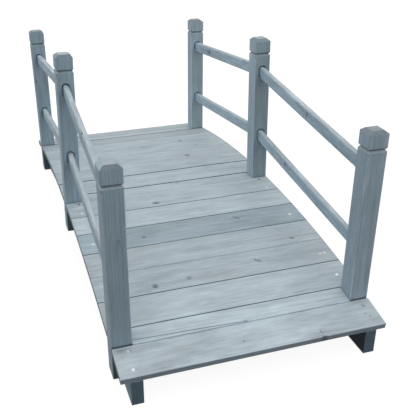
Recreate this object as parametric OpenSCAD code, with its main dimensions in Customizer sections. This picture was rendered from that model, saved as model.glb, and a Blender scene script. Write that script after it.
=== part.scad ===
// Small arched garden footbridge of stained softwood: two bowed stringers joined by cross rails,
// a plank deck, and six square posts half-lapped over the stringers with two rails in each bay.
// X runs across the bridge, Y along it and Z up. The origin is on the ground under the crest.

/* [Bridge] */
// Width over the ends of the deck boards
bridge_w = 670; // [560:5:800]
// Length over the ends of the stringers
bridge_l = 1530; // [1440:10:1800]
// Radius of the arched top of the deck
deck_r = 3650; // [3000:50:4500]
// Length of the flat foot at each end of a stringer
foot_l = 103; // [80:1:140]

/* [Stringers] */
// Thickness of a stringer
stringer_t = 29; // [20:1:40]
// Depth of a stringer, from its top to its underside
stringer_h = 85; // [60:1:110]
// Depth of a cross rail
cross_h = 40; // [25:1:50]
// Thickness of a cross rail
cross_t = 40; // [25:1:45]

/* [Deck] */
// Thickness of the deck boards
board_t = 16; // [12:1:24]
// Rounding of the long edges of the boards
board_edge = 1; // [0.5:0.5:4]
// Gap between neighbouring boards
board_gap = 2; // [1.5:0.5:5]
// Full boards between one pair of posts and the next
boards_per_bay = 6; // [4:1:8]
// Width left for a step board, from an end post to the end of the stringers
step_w = 90; // [70:1:120]
// Joint in front of the middle filler board, which leaves a wider one behind it
middle_joint = 0.5; // [0.3:0.1:2]
// Joint between the boards of the back bay that lie close, which leaves a wider one at each end of them
close_joint = 0.6; // [0.5:0.1:1.5]

/* [Posts] */
// Width of a square post
post_w = 50; // [40:1:70]
// Height of the groove above the deck
groove_z = 402; // [380:1:600]
// How much taller the middle posts are than the others
middle_extra = 10; // [0:1:40]
// Angle by which the middle posts lean inwards
middle_lean = 1; // [0:0.1:1.5]
// How far the foot of a post stops above the underside of its stringer
post_rise = 5; // [3:1:20]
// Thickness left where a post laps down over the outside of a stringer
lap_t = 23; // [15:1:30]
// Rounding of the upright edges of a post
post_edge = 3; // [1:0.5:6]

/* [Post caps] */
// Height of the cap above the groove, to its top
cap_h = 46; // [35:1:70]
// Height of the groove cut round the post
groove_h = 10; // [6:1:14]
// Depth of that groove
groove_d = 5; // [3:0.5:7]
// Height of the bevel round the top
bevel_h = 8; // [4:1:14]
// Width of the bevel round the top
bevel_w = 10; // [6:1:18]

/* [Rails] */
// Width of a rail
rail_w = 16; // [14:1:18]
// Height of a rail
rail_h = 35; // [30:1:36]
// Rounding of the edges of a rail
rail_edge = 5; // [3:0.5:7]
// Width of a mortise, which has round ends
mortise_w = 26; // [25:1:30]
// Height of a mortise
mortise_h = 42; // [39:1:46]
// Depth of a mortise
mortise_d = 15; // [12:0.5:18]
// Distance from the groove down to the middle of the upper mortise
upper_drop = 55; // [45:1:70]
// Distance from the groove down to the middle of the lower mortise
lower_drop = 262; // [160:1:300]

/* [Hidden] */
$fn = 96;
seat = 0.2;         // clearance of each seated joint
rail_end_gap = 3;   // space between the end of a rail and the bottom of its mortise
filler_gap = 1;     // clearance between the end of a filler board and a post
over = 1;           // how far a cut runs past the wood

sides = ["left", "right"];
places = ["front", "middle", "back"];
bays = ["front", "back"];
levels = ["lower", "upper"];

half_w = bridge_w / 2;
half_l = bridge_l / 2;
end_out = half_l - step_w;
end_in = end_out - post_w;
end_y = end_out - post_w / 2;

top_r = deck_r - board_t - seat;
under_r = top_r - stringer_h;
arch_clear = under_r - sqrt(pow(under_r, 2) - pow(half_l - foot_l, 2));
centre_z = arch_clear - under_r;
stringer_out = half_w - lap_t - seat;
stringer_in = stringer_out - stringer_t;

bay_in = post_w / 2;
board_pitch = (end_in - bay_in) / boards_per_bay;
step_tilt = asin((end_out + half_l) / 2 / deck_r);
step_in = end_out + board_t * sin(step_tilt) + board_gap / 2;
step_out = half_l + board_t * sin(step_tilt);
filler_l = bridge_w - 2 * (post_w + filler_gap);

mortise_r = mortise_w / 2;
mortise_rise = mortise_h / 2 - mortise_r;
corner_x = rail_w / 2 - rail_edge;
corner_z = rail_h / 2 - rail_edge;
// How far a rail's middle lies below the mortise's when its rounded corners rest in the round end
rail_sink = sqrt(pow(mortise_r - rail_edge - seat, 2) - pow(corner_x, 2)) + mortise_rise - corner_z;
rail_reach = mortise_d - rail_end_gap;

function sign_of(name) = name == "front" || name == "left" ? -1 : 1;
function post_y(place) = place == "middle" ? 0 : sign_of(place) * end_y;
function deck_z(y) = centre_z + sqrt(pow(deck_r, 2) - pow(y, 2));
function under_z(y) = centre_z + sqrt(pow(under_r, 2) - pow(y, 2));
function lean(place) = place == "middle" ? middle_lean : 0;
function groove_at(place) = groove_z + (place == "middle" ? middle_extra : 0);
function mortise_at(place, level) = groove_at(place) - (level == "upper" ? upper_drop : lower_drop);
function two_digits(i) = str(i < 10 ? "0" : "", i);

function stringer_name(side) = str(side, "_stringer");
function cross_name(place) = str(place, "_cross_rail");
function post_name(place, side) = str(place, "_", side, "_post");
function rail_name(bay, level, side) = str(bay, "_", side, "_", level, "_rail");
function step_name(bay) = str(bay, "_step_board");
function filler_name(place) = str(place, "_filler_board");
function board_name(i) = str("deck_board_", two_digits(i));

board_color = [0.68, 0.73, 0.76];
post_color = [0.44, 0.49, 0.52];
rail_color = [0.60, 0.66, 0.69];
stringer_color = [0.34, 0.39, 0.43];

// A rectangle with rounded corners
module eased_rect(w, h, r) {
    square([w - 2 * r, h], center = true);
    square([w, h - 2 * r], center = true);
    for (x = [-1, 1], y = [-1, 1])
        translate([x * (w / 2 - r), y * (h / 2 - r)])
            circle(r);
}

// A cylinder that lies across the bridge about the centre of its arch
module arch_cylinder(r, x0, x1) {
    translate([x0, 0, centre_z])
        rotate([0, 90, 0])
            cylinder(r = r, h = x1 - x0, $fn = 720);
}

// Places its children on the deck, flat to the arch midway between two distances from the crest
module on_deck(y0, y1) {
    tilt = asin((y0 + y1) / 2 / deck_r);
    translate([0, (y0 + y1) / 2, centre_z + deck_r * cos(tilt)])
        rotate([-tilt, 0, 0])
            children();
}

// A board across the bridge whose top edges lie at y0 and y1
module plank(y0, y1, length) {
    tilt = asin((y0 + y1) / 2 / deck_r);
    color(board_color)
        on_deck(y0, y1)
            translate([-length / 2, 0, -board_t / 2])
                rotate([90, 0, 90])
                    linear_extrude(length)
                        eased_rect((y1 - y0) / cos(tilt), board_t, board_edge);
}

// A bowed beam with a flat foot at each end
module stringer(side) {
    x0 = side == "left" ? -stringer_out : stringer_in;
    color(stringer_color)
        difference() {
            intersection() {
                arch_cylinder(top_r, x0, x0 + stringer_t);
                translate([x0 - over, -half_l, 0])
                    cube([stringer_t + 2 * over, bridge_l, deck_r]);
            }
            arch_cylinder(under_r, x0 - over, x0 + stringer_t + over);
        }
}

// A rail between the stringers, under a filler board
module cross_rail(place) {
    y = post_y(place);
    length = 2 * (stringer_in - seat);
    color(stringer_color)
        on_deck(y, y)
            translate([-length / 2, -cross_t / 2, -board_t - seat - cross_h])
                cube([length, cross_t, cross_h]);
}

module step_board(bay) {
    turn = sign_of(bay);
    plank(min(turn * step_in, turn * step_out), max(turn * step_in, turn * step_out), bridge_w);
}

// A short board that fills the space between a pair of posts
module filler_board(place) {
    turn = sign_of(place);
    inner = turn * (end_in + board_gap / 2);
    outer = turn * (step_in - board_gap);
    middle = middle_joint - bay_in - board_gap / 2;
    if (place == "middle")
        plank(middle, middle + post_w - board_gap, filler_l);
    else
        plank(min(inner, outer), max(inner, outer), filler_l);
}

// The full boards are numbered from the front, in two bays either side of the middle posts
module deck_board(i) {
    in_front = i <= boards_per_bay;
    in_bay = in_front ? i : i - boards_per_bay;
    // all but the first board of the back bay are pushed together
    pushed = in_front || in_bay == 1 ? 0 : (boards_per_bay / 2 + 1 - in_bay) * (board_gap - close_joint);
    start = (in_front ? -end_in : bay_in) + (in_bay - 1) * board_pitch + pushed;
    plank(start + board_gap / 2, start + board_pitch - board_gap / 2, bridge_w);
}

// The groove and the top bevel above it, cut along all four faces of a post
module cap_cuts() {
    for (turn = [0 : 90 : 270])
        rotate(turn)
            translate([post_w / 2, post_w / 2 + over, 0])
                rotate([90, 0, 0])
                    linear_extrude(post_w + 2 * over) {
                        polygon([[-groove_d, 0], [groove_d, -groove_h], [groove_d, groove_h]]);
                        translate([0, cap_h])
                            polygon([[bevel_w, -2 * bevel_h], [bevel_w, bevel_h], [-2 * bevel_w, bevel_h]]);
                    }
}

// A blind mortise with round ends, sunk in the face of a post that looks along +Y or -Y
module mortise(turn) {
    translate([0, turn * (post_w / 2 + over), 0])
        rotate([turn * 90, 0, 0])
            linear_extrude(mortise_d + over) {
                square([mortise_w, 2 * mortise_rise], center = true);
                for (y = [-1, 1])
                    translate([0, y * mortise_rise])
                        circle(mortise_r);
            }
}

module post(place, side) {
    turn = sign_of(side);
    y = post_y(place);
    x = turn * (half_w - post_w / 2);
    lap_x = half_w - lap_t;
    groove = groove_at(place);
    foot = max(under_z(y), 0) + post_rise - deck_z(y);
    faces = place == "front" ? [1] : place == "back" ? [-1] : [-1, 1];
    color(post_color)
        difference() {
            translate([x, y, deck_z(y)])
                rotate([0, -turn * lean(place), 0])
                    difference() {
                        translate([0, 0, foot])
                            linear_extrude(groove + cap_h - foot)
                                eased_rect(post_w, post_w, post_edge);
                        translate([0, 0, groove])
                            cap_cuts();
                        for (face = faces, level = levels)
                            translate([0, 0, mortise_at(place, level)])
                                mortise(face);
                    }
            // the inner half is cut away to sit on the stringer
            if (turn < 0)
                arch_cylinder(top_r + seat, -lap_x, over - half_w + post_w);
            else
                arch_cylinder(top_r + seat, half_w - post_w - over, lap_x);
        }
}

// A rail slopes from the middle post down to the end post, and rests in a mortise at each end
module rail(bay, level, side) {
    turn = sign_of(bay);
    out = sign_of(side);
    // the round end it rests in leans inwards with the middle post
    bed = mortise_at("middle", level) - mortise_rise;
    shift = bed * sin(middle_lean);
    high_y = post_w / 2;
    high_z = deck_z(0) + bed * cos(middle_lean) + mortise_rise - rail_sink;
    low_y = end_in + rail_reach;
    low_z = deck_z(end_y) + mortise_at(bay, level) - rail_sink;
    skew = atan2(shift, low_y - high_y);
    slope = atan2(high_z - low_z, (low_y - high_y) / cos(skew));
    across = cos(slope) * cos(skew);
    color(rail_color)
        translate([out * (half_w - post_w / 2 - shift), turn * high_y, high_z])
            rotate([-turn * slope, 0, -out * turn * skew])
                translate([0, -turn * rail_reach / across, 0])
                    rotate([-turn * 90, 0, 0])
                        linear_extrude((low_y - high_y + rail_reach) / across)
                            eased_rect(rail_w, rail_h, rail_edge);
}

for (side = sides)
    stringer(side);
for (place = places)
    cross_rail(place);
for (place = places, side = sides)
    post(place, side);
for (bay = bays, side = sides, level = levels)
    rail(bay, level, side);
for (bay = bays)
    step_board(bay);
for (place = places)
    filler_board(place);
for (i = [1 : 2 * boards_per_bay])
    deck_board(i);
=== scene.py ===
import math
import random

import bmesh
import bpy
from mathutils import Matrix, Vector


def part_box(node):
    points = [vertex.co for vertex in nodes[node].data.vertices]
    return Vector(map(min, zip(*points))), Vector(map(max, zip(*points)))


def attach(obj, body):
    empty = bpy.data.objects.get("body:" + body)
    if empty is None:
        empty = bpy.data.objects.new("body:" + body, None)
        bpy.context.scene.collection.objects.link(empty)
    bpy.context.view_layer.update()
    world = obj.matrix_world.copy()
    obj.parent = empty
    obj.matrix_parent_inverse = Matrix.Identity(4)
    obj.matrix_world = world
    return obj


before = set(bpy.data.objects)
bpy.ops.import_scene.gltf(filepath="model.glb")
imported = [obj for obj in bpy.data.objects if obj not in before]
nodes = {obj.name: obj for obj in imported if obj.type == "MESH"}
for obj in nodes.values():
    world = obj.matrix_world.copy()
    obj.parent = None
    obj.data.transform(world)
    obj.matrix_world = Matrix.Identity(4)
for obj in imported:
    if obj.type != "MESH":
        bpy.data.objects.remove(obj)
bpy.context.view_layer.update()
print("frame loaded,", len(nodes), "nodes")


class Wire:
    # an output socket: arithmetic on it adds Math nodes to its tree
    def __init__(self, tree, socket=None):
        self.tree = tree
        self.socket = socket

    def add(self, kind, settings, values, output=0):
        # any node: its settings come first, then socket values or links
        node = self.tree.nodes.new(kind)
        for name, value in settings.items():
            setattr(node, name, value)
        for key, value in values.items():
            if isinstance(value, Wire):
                self.tree.links.new(value.socket, node.inputs[key])
            else:
                node.inputs[key].default_value = value
        return Wire(self.tree, node.outputs[output] if node.outputs else None)

    def also(self, output):
        return Wire(self.tree, self.socket.node.outputs[output])

    def math(self, operation, *others):
        return self.add("ShaderNodeMath", {"operation": operation}, dict(enumerate((self,) + others)))

    def __add__(self, other):
        return self.math("ADD", other)

    __radd__ = __add__

    def __sub__(self, other):
        return self.math("SUBTRACT", other)

    def __rsub__(self, other):
        return self.math("MULTIPLY_ADD", -1.0, other)

    def __mul__(self, other):
        return self.math("MULTIPLY", other)

    __rmul__ = __mul__

    def __truediv__(self, other):
        return self.math("DIVIDE", other)

    def __pow__(self, other):
        return self.math("POWER", other)

    def __neg__(self):
        return self.math("MULTIPLY", -1.0)

    def ease(self, low, high):
        # 0 at low, 1 at high, smooth between; low may be the larger
        if low > high:
            return 1.0 - self.ease(high, low)
        return self.add("ShaderNodeMapRange", {"interpolation_type": "SMOOTHSTEP"},
                        {0: self, 1: low, 2: high, 3: 0.0, 4: 1.0})

    def bell(self):
        # 1 at zero, falling off smoothly to either side
        return (-(self * self)).math("EXPONENT")

    def where(self, mask, tone):
        # multiplied by the tone where the mask is 1
        return self * (1.0 + mask * (tone - 1.0))

    def noise(self, stretch, shift, detail=2.0, rough=0.5):
        # centred on zero
        spot = self.add("ShaderNodeVectorMath", {"operation": "MULTIPLY_ADD"},
                        {0: self, 1: stretch, 2: shift})
        values = {"Vector": spot, "Scale": 1.0, "Detail": detail, "Roughness": rough}
        return self.add("ShaderNodeTexNoise", {}, values) - 0.5

    def tinted(self, factor):
        # a colour made lighter or darker
        return self.add("ShaderNodeVectorMath", {"operation": "SCALE"}, {0: self, 3: factor})

    def mixed(self, other, factor):
        return self.add("ShaderNodeMix", {"data_type": "RGBA"}, {0: factor, 6: self, 7: other}, 2)

    def number(self, value):
        node = self.tree.nodes.new("ShaderNodeValue")
        node.outputs[0].default_value = value
        return Wire(self.tree, node.outputs[0])

    def colour(self, value):
        node = self.tree.nodes.new("ShaderNodeRGB")
        node.outputs[0].default_value = (*value, 1.0)
        return Wire(self.tree, node.outputs[0])


def newMaterial(name):
    material = bpy.data.materials.new(name)
    material.use_nodes = True
    material.node_tree.nodes.clear()
    return material, Wire(material.node_tree)


def middleOf(name):
    low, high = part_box(name)
    return (low + high) / 2


# the boards lie on an arch, whose radius comes from two of them
stepMiddle = middleOf("back_step_board")
archDrop = middleOf("middle_filler_board").z - stepMiddle.z
archRadius = (stepMiddle.y ** 2 + archDrop ** 2) / (2 * archDrop)
railHeight = 0.035
boardHalf = 0.008           # half the thickness of a board
postHalf = 0.025            # half the width of a post
grooveZone = (0.02, 0.06)   # where a post's groove lies, down from its top


def axesOf(name):
    # columns: along the grain, across it, and up or out of the face seen first
    centre = middleOf(name)
    low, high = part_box(name)
    if name.endswith("_post"):
        # a post that leans has a box wider than it is thick
        lean = math.asin((high.x - low.x - (high.y - low.y)) / (high.z - low.z))
        lean *= -1 if "right" in name else 1
        along, up = Vector((math.sin(lean), 0, math.cos(lean))), Vector((0, -1, 0))
    elif name.endswith("_rail") and "cross" not in name:
        slope = math.atan2(high.z - low.z - railHeight, high.y - low.y)
        slope *= -1 if name.startswith("back") else 1
        along = Vector((0, math.cos(slope), math.sin(slope)))
        up = Vector((0, -math.sin(slope), math.cos(slope)))
    elif name.endswith("_stringer"):
        along, up = Vector((0, 1, 0)), Vector((0, 0, 1))
    else:
        tilt = math.asin(centre.y / archRadius)
        along, up = Vector((1, 0, 0)), Vector((0, math.sin(tilt), math.cos(tilt)))
    across = up.cross(along)
    return centre, Matrix((along, across, up)).transposed()


# Stained wood. Lengths in metres. A knot is (along, across, half length, half width, turn, depth of tone),
# a stain or strip of painted shade (along, across, half length, half width, depth), a dent (along, across,
# radius), a crack a row of (along, across). An openEdge is the side across the grain, 1 or -1, whose edge
# gets no painted shade.
wood = {
    "topSheenColour": (0.377, 0.442, 0.479),     # painted sheen: the paler, greyer copy of the stain on faces turned up
    "sideShadingColour": (0.300, 0.396, 0.463),    # painted shade: the darker, bluer copy of the stain on the other faces
    "knotColour": (0.040, 0.070, 0.092),
    # painted shade for the gaps between boards and under the deck
    "edgeShadeColour": (0.045, 0.080, 0.104),
    "warmth": (0.035, 0.0, -0.020),         # how far the stain leans to pink in places
    "ringGap": 0.0042,
    "ringDepth": 0.16,                      # a depth is how far that layer of the grain moves the tone
    "fibreDepth": 0.45,
    "bandDepth": 0.34,
    "streakDepth": 0.25,
    "patchDepth": 0.42,
    "bleach": 0.10,
    "taper": 0.006,                         # how far the rings close in over a metre
    "cutTone": 0.42,                        # faces cut aslant the grain
    "bevelTone": 0.44,                      # the same, where they look sideways
    "endTone": 0.62,                        # faces cut square to it
    "edgeShade": 0.0,                        # painted shade on long edges that face a neighbour, in the gap between them
    "roughness": 0.60,
    "specular": 0.3,
}
# how fine each layer of the grain is, along it and twice across it
grain = {
    "wander": (2.2, 9.0, 9.0),
    "ripple": (7.0, 30.0, 30.0),
    "fibre": (26.0, 430.0, 430.0),
    "band": (7.0, 85.0, 85.0),
    "streak": (12.0, 190.0, 190.0),
    "patch": (9.0, 26.0, 26.0),
    "pale": (18.0, 70.0, 70.0),
    "pink": (4.0, 22.0, 22.0),
    "knotRim": (150.0, 220.0, 220.0),
}
# the dark middle of a knot, the pale ring about it, the shade beside it, and how far it pushes the grain
knotLook = {"core": 0.72, "ring": 0.05, "wing": -0.16, "push": -0.6}
# the top tone scales the painted sheen on faces turned up, the side tone the painted shade on the others
familyLooks = {
    "post": {"bandDepth": 0.38, "fibreDepth": 0.32, "patchDepth": 0.40, "mortiseLightTone": 2.2, "lapShadeTone": 0.35},
    "rail": {"fibreDepth": 0.9, "bandDepth": 0.45, "streakDepth": 0.8, "sideShadingTone": 1.22, "topSheenTone": 0.87,
             "endTone": 0.5},
    # a stringer's inner face, under the deck, is painted near black with shade
    "stringer": {"sideShadingColour": (0.232, 0.340, 0.412), "endTone": 0.50, "edgeShade": 1.0,
                 "edgeShadeColour": (0.012, 0.022, 0.029), "specular": 0.08},
    "board": {"sideShadingColour": (0.268, 0.380, 0.452), "patchDepth": 0.50, "edgeShade": 0.80},
}
# per piece the same; here too the top, side and front tones scale painted sheen and shade
pieceLooks = {
    "left_stringer": {"openEdge": 1, "sideShadingTone": 1.09},
    "right_stringer": {"openEdge": -1},
    "front_step_board": {
        "tone": 0.97, "openEdge": -1, "edgeShade": 0.45, "patchDepth": 0.80,
        "sideShadingColour": (0.312, 0.388, 0.450),
        "knots": ((0.1655, -0.0285, 0.009, 0.003, -1.42, 0.7), (0.167, -0.046, 0.008, 0.006, 0.0, 1.1),
                  (-0.028, -0.0084, 0.0035, 0.003, 0.0, 0.8)),
        "stainsAndShade": ((-0.315, 0.0356, 0.014, 0.006, 0.30), (-0.3187, 0.0155, 0.008, 0.006, 0.16),
                   (-0.28, 0.039, 0.030, 0.004, 0.12), (0.27, 0.0, 0.14, 0.08, 0.08),
                   (0.158, -0.021, 0.008, 0.008, -0.10)),
        "dents": ((-0.2945, 0.031, 0.004), (0.309, 0.024, 0.007), (0.301, -0.002, 0.005),
                  (0.309, -0.013, 0.005)),
    },
    "front_filler_board": {
        # its sides are lightened: painted light in the gaps beside it
        "tone": 1.04, "edgeShade": 0.02, "sideShadingTone": 1.7,
        "knots": ((0.0004, -0.0235, 0.005, 0.004, 0.0, 0.45),),
        "crack": ((-0.2845, -0.0125), (-0.191, -0.0157), (-0.117, -0.0185), (0.0, -0.0235)),
    },
    "deck_board_01": {"tone": 0.97, "edgeShade": 0.6},
    "deck_board_02": {
        "tone": 0.87, "openEdge": 1,
        "knots": ((-0.181, -0.026, 0.0085, 0.0085, 0.0, 1.1), (-0.0865, -0.017, 0.0085, 0.007, 0.0, 0.7),
                  (0.1165, 0.0038, 0.0145, 0.0062, -0.80, 0.80)),
    },
    "deck_board_03": {
        # its very pale sides are painted light in the gaps beside it
        "tone": 0.88, "openEdge": -1, "sideShadingColour": (0.66, 0.78, 0.86), "endTone": 0.27,
        "knots": ((0.252, -0.026, 0.0075, 0.0065, 0.0, 0.9),),
    },
    "deck_board_04": {
        "topSheenColour": (0.258, 0.320, 0.358),
        "stainsAndShade": ((-0.31, 0.0, 0.07, 0.15, -0.18),),
        "knots": ((-0.154, -0.0077, 0.007, 0.006, 0.0, 1.0), (0.1366, 0.0183, 0.0135, 0.0045, -0.70, 0.85)),
    },
    "deck_board_05": {"tone": 1.00, "edgeShade": 1.0},
    "deck_board_06": {
        "tone": 0.93, "edgeShade": 1.0,
        "knots": ((-0.0686, -0.0290, 0.0125, 0.0085, 0.0, 1.1),),
    },
    "middle_filler_board": {"tone": 0.94, "knots": ((0.0354, 0.0159, 0.006, 0.005, 0.0, 0.7),)},
    "deck_board_07": {"tone": 0.94, "edgeShade": 1.0},
    "deck_board_08": {"tone": 0.93},
    "deck_board_09": {"tone": 0.96, "knots": ((0.146, -0.0260, 0.010, 0.013, 0.0, 1.2),)},
    "deck_board_10": {
        "tone": 0.94,
        "knots": ((0.2155, -0.0185, 0.009, 0.009, 0.0, 0.5), (0.0226, 0.040, 0.016, 0.009, 0.0, 0.5)),
    },
    "deck_board_11": {
        "tone": 0.98,
        "knots": ((0.1756, -0.0367, 0.009, 0.012, 0.0, 0.9), (0.0899, 0.0257, 0.008, 0.009, 0.0, 0.4)),
    },
    # painted shade along the back edge, where the board meets the back filler and the back posts
    "deck_board_12": {"tone": 0.83, "stainsAndShade": ((0.0, 0.0455, 3.0, 0.0045, 0.55),)},
    "back_filler_board": {"tone": 0.97, "edgeShade": 1.0},
    "back_step_board": {"tone": 0.87, "openEdge": 1},
    "front_right_upper_rail": {"sideKnots": ((-0.016, 0.003, 0.007, 0.010, 0.3, 0.8),)},
    "front_right_lower_rail": {"sideKnots": ((0.097, 0.006, 0.006, 0.008, 0.0, 0.9),)},
    "back_right_upper_rail": {"sideKnots": ((0.131, -0.002, 0.016, 0.008, 0.0, 1.2),)},
    "front_left_upper_rail": {"knots": ((-0.003, 0.0055, 0.007, 0.003, 0.0, 1.2),)},
    "front_left_post": {
        "sideShadingTone": 0.98, "bevelTone": 0.85, "endTone": 0.66,
        "knots": ((0.096, -0.0075, 0.008, 0.0035, 0.5, 0.5),),
    },
    "front_right_post": {"tone": 1.04, "endTone": 0.47, "sideShadingColour": (0.312, 0.398, 0.463)},
    "middle_left_post": {"bevelTone": 0.60, "endTone": 0.76},
    "middle_right_post": {
        "endTone": 0.66, "cutTone": 0.47, "sideShadingTone": 1.14, "frontShadeTone": 0.78,
        "sideShadingColour": (0.311, 0.398, 0.456),
        "stainsAndShade": ((0.262, 0.0, 0.018, 0.1, -0.08),),
    },
    "back_left_post": {
        "tone": 0.97, "bevelTone": 0.60, "endTone": 0.62,
        "knots": ((0.088, 0.021, 0.005, 0.003, 0.0, 0.9),),
    },
    "back_right_post": {"tone": 1.12, "endTone": 0.42, "sideShadingColour": (0.326, 0.408, 0.465)},
}


def lookOf(name):
    family = next(word for word in familyLooks if word in name.replace("cross_rail", "stringer"))
    return {**wood, **familyLooks[family], **pieceLooks.get(name, {})}


def deckLevel(name):
    return middleOf(name.split("_")[0] + "_filler_board").z + boardHalf


def stainedWood(name, look):
    draw = random.Random(name + " grain")
    material, wire = newMaterial(name + "_wood")
    centre, axes = axesOf(name)
    along, acrossAxis, outAxis = axes.col
    pithAcross = draw.choice((-1, 1)) * draw.uniform(0.02, 0.08)
    pithDepth = -draw.uniform(0.02, 0.07)
    shift = tuple(draw.uniform(-40, 40) for _ in range(3))

    place = wire.add("ShaderNodeTexCoord", {}, {}, "Object")
    local = wire.add("ShaderNodeMapping", {"vector_type": "TEXTURE"},
                     {"Vector": place, "Location": centre, "Rotation": axes.to_euler()})
    u = wire.add("ShaderNodeSeparateXYZ", {}, {0: local}, 0)
    v, w = u.also(1), u.also(2)
    normal = wire.add("ShaderNodeNewGeometry", {}, {}, "Normal")

    def facing(axis):
        return wire.add("ShaderNodeVectorMath", {"operation": "DOT_PRODUCT"}, {0: normal, 1: axis}, 1)

    # knots run through from the top face or from the side, and push the grain aside
    rough = local.noise(grain["knotRim"], shift, 1.0)
    dark, shade, grainAcross = wire.number(0.0), wire.number(1.0), v
    knots = [(knot, v) for knot in look.get("knots", ())]
    knots += [(knot, w) for knot in look.get("sideKnots", ())]
    for (alongSpot, acrossSpot, halfLong, halfWide, turn, depth), side in knots:
        du, dv = u - alongSpot, side - acrossSpot
        a = (du * math.cos(turn) + dv * math.sin(turn)) / halfLong
        b = (dv * math.cos(turn) - du * math.sin(turn)) / halfWide
        reach = (a * a + b * b) ** 0.5 + rough * 1.6
        dark = dark + reach.ease(1.25, 0.25) * (knotLook["core"] * depth)
        ring = ((reach - 1.7) * 2.2).bell() * (knotLook["ring"] * depth)
        wing = (du / (halfLong * 4)).bell() * (dv / (halfWide * 1.8)).bell() * (knotLook["wing"] * depth)
        shade = shade + ring + wing
        grainAcross = grainAcross + dv * (reach * 0.4).bell() * knotLook["push"]
    # stains darken or lighten patches; the one on deck board 12 is painted shade
    for alongSpot, acrossSpot, halfLong, halfWide, depth in look.get("stainsAndShade", ()):
        shade = shade - ((u - alongSpot) / halfLong).bell() * ((v - acrossSpot) / halfWide).bell() * depth

    # grain: rings about the pith, fibres, streaks, and patches where the stain took more or less
    wander = local.noise(grain["wander"], shift, 1.0)
    ripple = local.noise(grain["ripple"], shift, 1.0)
    across = grainAcross + wander * 0.022 + ripple * 0.003 - pithAcross
    depthIn = w - pithDepth
    radius = (across * across + depthIn * depthIn) ** 0.5 + u * (look["taper"] * draw.choice((-1, 1)))
    late = (radius / (look["ringGap"] * draw.uniform(0.8, 1.3))).math("FRACT") ** 3.0
    fibre = local.noise(grain["fibre"], shift, 3.0, 0.65)
    band = local.noise(grain["band"], shift, 2.0, 0.55)
    streak = local.noise(grain["streak"], shift[::-1], 2.0, 0.6)
    patch = local.noise(grain["patch"], shift, 2.0, 0.55)
    pale = local.noise(grain["pale"], shift[::-1], 3.0, 0.6).ease(0.03, 0.20)
    light = 1.0 + (late - 0.25) * -look["ringDepth"] + fibre * look["fibreDepth"]
    light = light + band * look["bandDepth"] + patch * look["patchDepth"] + (pale - 0.2) * look["bleach"]
    light = light + streak * look["streakDepth"]
    light = light * shade

    # cut faces drink more stain than the faces along the grain; painted shade darkens the edges that face a
    # neighbour and a stringer's inner face under the deck
    endwise = facing(along).math("ABSOLUTE")
    square = endwise.ease(0.9, 0.98)
    aslant = endwise.ease(0.35, 0.65) - square
    low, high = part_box(name)
    if name.endswith("_post"):
        # the groove keeps most of the post's tone
        underTop = (high.z - low.z) / 2 - u
        inGroove = underTop.math("GREATER_THAN", grooveZone[0]) * underTop.math("LESS_THAN", grooveZone[1])
        aslant = aslant * (1.0 - inGroove * 0.6)
    sideways = facing(acrossAxis).math("ABSOLUTE").ease(0.25, 0.5)
    cutTone = look["cutTone"] + sideways * (look["bevelTone"] - look["cutTone"])
    light = light * (1.0 + aslant * (cutTone - 1.0) + square * (look["endTone"] - 1.0))
    edgeShading = wire.number(0.0)
    if look["edgeShade"] > 0.0:
        edgewise = facing(acrossAxis)
        edgewise = edgewise * -look["openEdge"] if "openEdge" in look else edgewise.math("ABSOLUTE")
        edgeShading = edgewise.ease(0.4, 0.8) * look["edgeShade"]
    # painted shade: the face looking out front is made darker
    if "frontShadeTone" in look:
        light = light.where(facing(outAxis).ease(0.5, 0.9), look["frontShadeTone"])
    if "lapShadeTone" in look:
        # painted light lifts the shade inside the mortises; painted shade darkens the foot of a post and
        # its lap below the deck, most on the front and back faces
        inside = v.math("ABSOLUTE").math("MAXIMUM", w.math("ABSOLUTE"))
        inside = inside.ease(postHalf - 0.0001, postHalf - 0.0012)
        inside = inside * u.math("LESS_THAN", (high.z - low.z) / 2 - grooveZone[1])
        light = light.where(inside, look["mortiseLightTone"])
        overDeck = u - (deckLevel(name) - centre.z) - w * (centre.y / archRadius)
        footShade = overDeck.ease(0.003, -0.001) * (facing(outAxis).math("ABSOLUTE") * 0.8 + 0.2)
        light = light.where(footShade, look["lapShadeTone"])

    for alongSpot, acrossSpot, size in look.get("dents", ()):
        du, dv = u - alongSpot, v - acrossSpot
        dark = dark + (du * du + dv * dv).math("SQRT").ease(size, size * 0.3) * 0.45
    crack = look.get("crack", ())
    for (u0, v0), (u1, v1) in zip(crack, crack[1:]):
        line = (u - u0) * ((v1 - v0) / (u1 - u0)) + v0
        off = (v - line + ripple * 0.002).math("ABSOLUTE")
        within = u.math("GREATER_THAN", u0) * u.math("LESS_THAN", u1)
        dark = dark + off.ease(0.0018, 0.0005) * within * 0.8

    tone = look.get("tone", 1.0)
    top = [value * tone * look.get("topSheenTone", 1.0) for value in look["topSheenColour"]]
    side = [value * tone * look.get("sideShadingTone", 1.0) for value in look["sideShadingColour"]]
    # painted sheen and shade: faces turned up take the paler top colour, the others the darker side colour
    sheenWeight = wire.add("ShaderNodeSeparateXYZ", {}, {0: normal}, 2).ease(0.3, 0.8)
    sheenWeight = sheenWeight * (1.0 - aslant * (1.0 - sideways * 0.4))
    colour = wire.colour(side).mixed(wire.colour(top), sheenWeight)
    pink = local.noise(grain["pink"], shift[::-1], 2.0)
    warm = wire.colour(look["warmth"]).tinted(pink)
    colour = wire.add("ShaderNodeVectorMath", {"operation": "ADD"}, {0: colour, 1: warm}).tinted(light)
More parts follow.
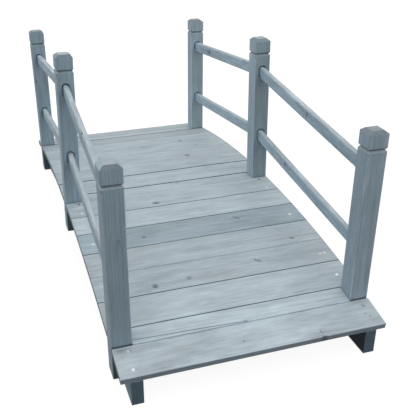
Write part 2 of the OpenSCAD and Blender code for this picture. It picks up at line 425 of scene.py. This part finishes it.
    # painted shade on edges in the gaps and on the stringers' inner faces
    colour = colour.mixed(wire.colour(look["edgeShadeColour"]), edgeShading)
    colour = colour.mixed(wire.colour(look["knotColour"]), dark.math("MINIMUM", 0.95))
    height = fibre * 0.5 - late * 0.3 - dark
    gloss = look["roughness"] + fibre * 0.15 + patch * 0.12
    bump = wire.add("ShaderNodeBump", {}, {"Strength": 0.3, "Distance": 0.0006, "Height": height})
    shader = wire.add("ShaderNodeBsdfPrincipled", {},
                      {"Base Color": colour, "Roughness": gloss, "Normal": bump,
                       "Specular IOR Level": look["specular"]})
    wire.add("ShaderNodeOutputMaterial", {}, {"Surface": shader})
    return material


for name, node in nodes.items():
    material = stainedWood(name, lookOf(name))
    node.data.materials.clear()
    node.data.materials.append(material)
print("stained wood on", len(nodes), "nodes")


# Screws: a flat head with a cross recess, its rim let into the wood.
screw = {"radius": 0.0036, "proud": 0.0007, "sink": 0.0003, "recess": 0.0006,
         "lines": (-1.0, -0.56, -0.17, 0.17, 0.56, 1.0),    # the grid that the cross is cut from
         "rim": ((0.0003, 0.0002), (0.0001, 0.0010)),       # outward and down, in two steps
         "rust": (0.09, 0.075, 0.06, 1.0)}


def screwHead(mesh, spot, along, up, turn, size):
    lines = screw["lines"]
    head = bmesh.new()
    bmesh.ops.create_grid(head, x_segments=len(lines) - 1, y_segments=len(lines) - 1, size=1.0)
    for vert in head.verts:
        column = round((vert.co.x + 1) / 2 * (len(lines) - 1))
        row = round((vert.co.y + 1) / 2 * (len(lines) - 1))
        vert.co.x, vert.co.y = lines[column] * size, lines[row] * size
    for vert in head.verts:
        if vert.is_boundary:
            vert.co = vert.co.normalized() * size
    arm, reach = lines[3] * size, lines[4] * size

    def inCross(face):
        x, y = (abs(value) for value in face.calc_center_median()[:2])
        return (x < arm and y < reach) or (y < arm and x < reach)

    cross = [face for face in head.faces if inCross(face)]
    grown = bmesh.ops.extrude_face_region(head, geom=cross)["geom"]
    bmesh.ops.delete(head, geom=cross, context="FACES")
    sunk = [part for part in grown if isinstance(part, bmesh.types.BMVert)]
    bmesh.ops.translate(head, verts=sunk, vec=(0, 0, -screw["recess"]))
    for outward, down in screw["rim"]:
        rim = [edge for edge in head.edges if edge.is_boundary]
        lower = [part for part in bmesh.ops.extrude_edge_only(head, edges=rim)["geom"]
                 if isinstance(part, bmesh.types.BMVert)]
        for vert in lower:
            flat = Vector((vert.co.x, vert.co.y, 0)).normalized() * outward
            vert.co += flat - Vector((0, 0, down))
    across = up.cross(along)
    axes = Matrix((along, across, up)).transposed() @ Matrix.Rotation(turn, 3, "Z")
    bmesh.ops.transform(head, matrix=Matrix.Translation(spot) @ axes.to_4x4(), verts=head.verts)
    bmesh.ops.recalc_face_normals(head, faces=head.faces)
    part = bpy.data.meshes.new("screw")
    head.to_mesh(part)
    head.free()
    mesh.from_mesh(part)
    bpy.data.meshes.remove(part)


def addPiece(name, mesh, material):
    data = bpy.data.meshes.new(name)
    mesh.to_mesh(data)
    mesh.free()
    data.materials.append(material)
    piece = bpy.data.objects.new(name, data)
    bpy.context.scene.collection.objects.link(piece)
    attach(piece, "root")


def screwMetal(name, metal):
    material, wire = newMaterial(name)
    place = wire.add("ShaderNodeTexCoord", {}, {}, "Object")
    cloud = place.noise((90.0, 90.0, 90.0), (3.0, 5.0, 7.0), 3.0, 0.6)
    speck = place.noise((900.0, 900.0, 900.0), (1.0, 2.0, 3.0), 2.0)
    colour = wire.colour(metal["colour"]).tinted(1.0 + cloud * 0.5 + speck * 0.2)
    colour = colour.mixed(screw["rust"], (cloud * 3.0 + metal["stain"]).ease(0.3, 1.2))
    gloss = cloud * 0.3 + speck * 0.2 + metal["rough"]
    shader = wire.add("ShaderNodeBsdfPrincipled", {},
                      {"Base Color": colour, "Metallic": metal["metallic"], "Roughness": gloss})
    wire.add("ShaderNodeOutputMaterial", {}, {"Surface": shader})
    return material


# Places of the screws, as (along, across); a deck board not named has one at each end, a filler board none.
screwRow = {"out": 0.2973, "across": -0.008, "alongDrift": 0.003, "acrossDrift": 0.004}
boardScrews = {
    "front_step_board": ((-0.301, -0.024), (-0.300, 0.0295), (0.304, 0.031), (0.294, -0.027)),
    "back_step_board": ((-0.298, -0.028), (-0.296, 0.026), (0.299, 0.027), (0.296, -0.026)),
    "deck_board_02": ((-0.2973, -0.008), (0.2965, -0.013), (0.310, -0.012)),
    "deck_board_06": ((-0.299, -0.027), (0.302, -0.030)),
    "deck_board_07": ((-0.297, -0.028), (0.299, -0.027), (-0.300, 0.030), (0.296, 0.031)),
}
# dark heads sunk in deck board 06: painted shade for their deep holes
sunkScrews = {"deck_board_06": ((-0.2975, 0.033), (0.303, 0.0325))}
# screws that stand out, by their number on the board; the others are dull
screwFinish = {
    "front_step_board": {0: "bright", 1: "pale"},
    "deck_board_01": {1: "bright"},
    "deck_board_02": {1: "pale", 2: "pale"},
    "deck_board_04": {0: "bright", 1: "bright"},
    "deck_board_06": {0: "bright", 1: "bright"},
}


def placesOn(name):
    if name in boardScrews:
        return boardScrews[name]
    draw = random.Random(name)
    alongDrift, acrossDrift = screwRow["alongDrift"], screwRow["acrossDrift"]
    return tuple((side * screwRow["out"] + draw.uniform(-alongDrift, alongDrift),
                  screwRow["across"] + draw.uniform(-acrossDrift, acrossDrift)) for side in (-1, 1))


screwKinds = {
    "bright": {"colour": (0.66, 0.68, 0.70), "rough": 0.42, "stain": -0.6, "metallic": 0.4,
               "slot": "deck_wood"},
    "pale": {"colour": (0.54, 0.57, 0.59), "rough": 0.5, "stain": -0.6, "metallic": 0.2,
             "slot": "deck_wood"},
    "dull": {"colour": (0.36, 0.41, 0.44), "rough": 0.6, "stain": -0.1, "metallic": 0.2,
             "slot": "deck_wood"},
    "dark": {"colour": (0.06, 0.07, 0.08), "rough": 0.6, "stain": 0.2, "metallic": 0.5,
             "slot": "post_wood"},
}
screwMeshes = {kind: bmesh.new() for kind in screwKinds}
for name in nodes:
    if "board" not in name or "filler" in name:
        continue
    draw = random.Random(name + " screws")
    centre, axes = axesOf(name)
    along, across, up = axes.col
    finish = screwFinish.get(name, {})
    spots = [(place, finish.get(number, "dull")) for number, place in enumerate(placesOn(name))]
    spots += [(place, "dark") for place in sunkScrews.get(name, ())]
    for (uSpot, vSpot), kind in spots:
        proud = screw["proud"] - (screw["sink"] if kind in ("dull", "dark") else 0.0)
        spot = centre + along * uSpot + across * vSpot + up * (boardHalf + proud)
        screwHead(screwMeshes[kind], spot, along, up, draw.uniform(0, math.pi), screw["radius"])

# two dark screws through each post's lap into its stringer
lapScrews = {"heights": (0.020, 0.061), "behind": 0.007, "radius": 0.0042, "proud": 0.00042}
for name in nodes:
    if not name.endswith("_post"):
        continue
    draw = random.Random(name + " screws")
    low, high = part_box(name)
    outward = -1 if "left" in name else 1
    headX = (low.x if outward < 0 else high.x) + outward * lapScrews["proud"]
    for height in lapScrews["heights"]:
        spot = Vector((headX, (low.y + high.y) / 2 + lapScrews["behind"], low.z + height))
        screwHead(screwMeshes["dark"], spot, Vector((0, 1, 0)), Vector((outward, 0, 0)),
                  draw.uniform(0, math.pi), lapScrews["radius"])

for kind, metal in screwKinds.items():
    addPiece(kind + "_screws", screwMeshes[kind], screwMetal(kind + "_screw", metal))
print("screws placed")


# Stage: a pale floor that the camera sees as white, soft light from overhead, a little from the left
# and the front.
stage = {"floorHalf": 6.0, "floorDrop": 0.0005, "glow": 0.93, "whiteFrom": 0.9, "whiteBy": 1.7,
         "catch": 0.12, "bounce": 0.03, "ambient": 0.10}
lamps = {
    "overhead": {"size": 7.0, "power": 222.0, "spot": (0.0, -0.1, 2.9), "aim": (0.0, 0.0, 0.1)},
    "left": {"size": 2.0, "power": 11.0, "spot": (-2.6, 1.4, 1.7), "aim": (0.0, 0.0, 0.3)},
    "front": {"size": 1.2, "power": 5.8, "spot": (0.5, -2.1, 1.3), "aim": (0.0, -0.6, 0.35)},
}


def seenRays(wire):
    path = wire.add("ShaderNodeLightPath", {}, {}, "Is Camera Ray")
    seen = path.math("MAXIMUM", path.also("Is Glossy Ray"))
    return seen.math("MAXIMUM", path.also("Is Transmission Ray"))


floorMesh = bmesh.new()
bmesh.ops.create_grid(floorMesh, x_segments=2, y_segments=2, size=stage["floorHalf"])
bmesh.ops.translate(floorMesh, verts=floorMesh.verts, vec=(0, 0, -stage["floorDrop"]))
floorData = bpy.data.meshes.new("floor")
floorMesh.to_mesh(floorData)
floorMesh.free()
floor = bpy.data.objects.new("floor", floorData)
bpy.context.scene.collection.objects.link(floor)
floorMaterial, wire = newMaterial("pale_floor")
grey = wire.add("ShaderNodeBsdfDiffuse", {}, {"Color": (stage["bounce"],) * 3 + (1.0,)})
# beyond the bridge the floor turns fully white, so it meets the backdrop unseen
spread = wire.add("ShaderNodeTexCoord", {}, {}, "Object")
spread = wire.add("ShaderNodeVectorMath", {"operation": "LENGTH"}, {0: spread}, 1)
spread = spread.ease(stage["whiteFrom"], stage["whiteBy"])
strength = spread * (1.0 - stage["glow"]) + stage["glow"]
glow = wire.add("ShaderNodeEmission", {}, {"Color": (1.0, 1.0, 1.0, 1.0), "Strength": strength})
catch = wire.add("ShaderNodeBsdfDiffuse", {}, {"Color": (stage["catch"],) * 3 + (1.0,)})
white = wire.add("ShaderNodeAddShader", {}, {0: glow, 1: catch})
shown = wire.add("ShaderNodeMixShader", {}, {0: seenRays(wire), 1: grey, 2: white})
wire.add("ShaderNodeOutputMaterial", {}, {"Surface": shown})
floorData.materials.append(floorMaterial)

world = bpy.data.worlds.new("studio")
world.use_nodes = True
world.node_tree.nodes.clear()
wire = Wire(world.node_tree)
strength = seenRays(wire) * (1.0 - stage["ambient"]) + stage["ambient"]
sky = wire.add("ShaderNodeBackground", {}, {"Color": (1.0, 1.0, 1.0, 1.0), "Strength": strength})
wire.add("ShaderNodeOutputWorld", {}, {"Surface": sky})
bpy.context.scene.world = world

for name, lamp in lamps.items():
    light = bpy.data.lights.new(name, "AREA")
    light.size = lamp["size"]
    light.energy = lamp["power"]
    lightObject = bpy.data.objects.new(name, light)
    lightObject.location = lamp["spot"]
    toward = Vector(lamp["aim"]) - Vector(lamp["spot"])
    lightObject.rotation_euler = toward.to_track_quat("-Z", "Y").to_euler()
    bpy.context.scene.collection.objects.link(lightObject)

bpy.context.scene.view_settings.view_transform = "Standard"
view = {"spot": (-0.5406, -1.8996, 1.0879), "turn": (62.806, 0.305, -17.589), "lens": 57.973,
        "shift": (0.0567, 0.0065)}
camera = bpy.data.cameras.new("camera")
camera.sensor_width = 36.0
camera.lens = view["lens"]
camera.shift_x, camera.shift_y = view["shift"]
cameraObject = bpy.data.objects.new("camera", camera)
cameraObject.location = view["spot"]
cameraObject.rotation_euler = [math.radians(angle) for angle in view["turn"]]
bpy.context.scene.collection.objects.link(cameraObject)
bpy.context.scene.camera = cameraObject
print("stage, light and camera set")
